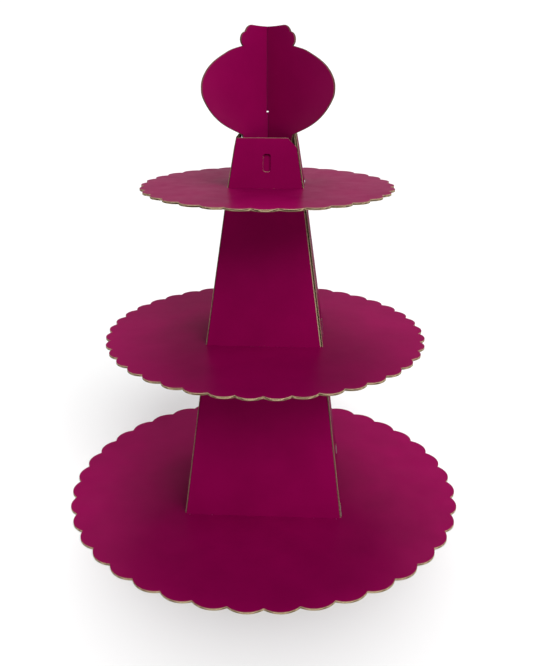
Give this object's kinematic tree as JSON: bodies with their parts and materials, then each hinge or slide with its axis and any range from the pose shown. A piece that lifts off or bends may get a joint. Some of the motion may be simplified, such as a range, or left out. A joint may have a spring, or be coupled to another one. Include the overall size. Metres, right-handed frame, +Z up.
{
  "type": "tiered cake stand",
  "caption": "Tiered cake stand of laminated corrugated board: scalloped round plates on tapering square columns, with an open cap and a crossed-board topper.",
  "frame": {"origin": "centre of the bottom plate's underside, which is the bottom centre of the whole stand's box", "axes": "+Z up; -Y towards the front, the side of the cap with the upright slot; +X to the right seen from the front"},
  "size_m": [0.2992, 0.2992, 0.3397],
  "materials": {
    "printed_face": "magenta film-laminated paper liner, satin",
    "fluted_core": "raw kraft fluted middle layer, matte",
    "kraft_liner": "raw kraft flat liner, matte"
  },
  "bodies": {
    "bottom_plate": {"bottom_plate_bottom_face": "printed_face", "bottom_plate_core": "fluted_core", "bottom_plate_top_face": "printed_face"},
    "bottom_column": {"bottom_column_back_core": "fluted_core", "bottom_column_back_face": "printed_face", "bottom_column_backing": "kraft_liner", "bottom_column_flap_backing": "kraft_liner", "bottom_column_flap_core": "fluted_core", "bottom_column_flap_face": "printed_face", "bottom_column_front_core": "fluted_core", "bottom_column_front_face": "printed_face", "bottom_column_left_core": "fluted_core", "bottom_column_left_face": "printed_face", "bottom_column_right_core": "fluted_core", "bottom_column_right_face": "printed_face"},
    "middle_plate": {"middle_plate_bottom_face": "printed_face", "middle_plate_core": "fluted_core", "middle_plate_top_face": "printed_face"},
    "middle_column": {"middle_column_back_core": "fluted_core", "middle_column_back_face": "printed_face", "middle_column_backing": "kraft_liner", "middle_column_flap_backing": "kraft_liner", "middle_column_flap_core": "fluted_core", "middle_column_flap_face": "printed_face", "middle_column_front_core": "fluted_core", "middle_column_front_face": "printed_face", "middle_column_left_core": "fluted_core", "middle_column_left_face": "printed_face", "middle_column_right_core": "fluted_core", "middle_column_right_face": "printed_face"},
    "top_plate": {"top_plate_bottom_face": "printed_face", "top_plate_core": "fluted_core", "top_plate_top_face": "printed_face"},
    "cap": {"cap_back_core": "fluted_core", "cap_back_face": "printed_face", "cap_backing": "kraft_liner", "cap_flap_backing": "kraft_liner", "cap_flap_core": "fluted_core", "cap_flap_face": "printed_face", "cap_front_core": "fluted_core", "cap_front_face": "printed_face", "cap_left_core": "fluted_core", "cap_left_face": "printed_face", "cap_right_core": "fluted_core", "cap_right_face": "printed_face"},
    "topper_first_board": {"topper_first_board_back_face": "printed_face", "topper_first_board_core": "fluted_core", "topper_first_board_front_face": "printed_face"},
    "topper_second_board": {"topper_second_board_back_face": "printed_face", "topper_second_board_core": "fluted_core", "topper_second_board_front_face": "printed_face"}
  },
  "joints": [
    {"name": "bottom_column_lift", "type": "slide", "parent": "bottom_plate", "child": "bottom_column", "axis": [0, 0, 1], "range_m": [0, 0.03]},
    {"name": "middle_plate_lift", "type": "slide", "parent": "bottom_column", "child": "middle_plate", "axis": [0, 0, 1], "range_m": [0, 0.03]},
    {"name": "middle_column_lift", "type": "slide", "parent": "middle_plate", "child": "middle_column", "axis": [0, 0, 1], "range_m": [0, 0.03]},
    {"name": "top_plate_lift", "type": "slide", "parent": "middle_column", "child": "top_plate", "axis": [0, 0, 1], "range_m": [0, 0.03]},
    {"name": "cap_lift", "type": "slide", "parent": "top_plate", "child": "cap", "axis": [0, 0, 1], "range_m": [0, 0.03]},
    {"name": "topper_first_board_lift", "type": "slide", "parent": "cap", "child": "topper_first_board", "axis": [0, 0, 1], "range_m": [0, 0.04]},
    {"name": "topper_second_board_lift", "type": "slide", "parent": "topper_first_board", "child": "topper_second_board", "axis": [0, 0, 1], "range_m": [0, 0.105]}
  ]
}
